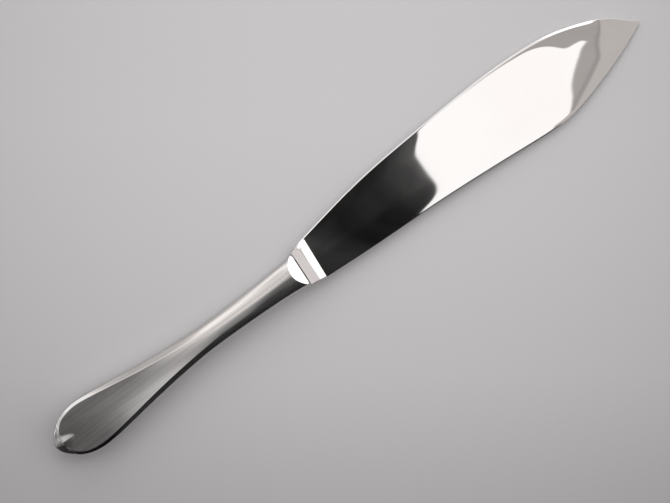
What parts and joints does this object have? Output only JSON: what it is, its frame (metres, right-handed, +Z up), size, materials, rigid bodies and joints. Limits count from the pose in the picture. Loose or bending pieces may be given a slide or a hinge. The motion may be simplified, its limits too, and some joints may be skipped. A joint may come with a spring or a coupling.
{
  "type": "cake knife",
  "caption": "Steel cake knife lying on its side: wide mirror-polished pointed blade, ridged bolster and satin hollow handle with a broad, pinched butt.",
  "frame": {"origin": "on the surface that the knife lies on, under the middle of its bounding box", "axes": "+X along the handle from butt to tip, +Y towards the spine, +Z up, square to the blade's flat"},
  "size_m": [0.29, 0.0344, 0.01],
  "materials": {
    "blade_steel": "mirror polished stainless steel",
    "satin_steel": "satin, brushed along the handle",
    "ferrule_steel": "mirror polished stainless steel",
    "cement": "matt cement"
  },
  "bodies": {
    "root": {"blade": "blade_steel", "handle_upper_shell": "satin_steel", "handle_lower_shell": "satin_steel", "handle_ferrule": "ferrule_steel", "handle_filler": "cement"}
  },
  "joints": []
}
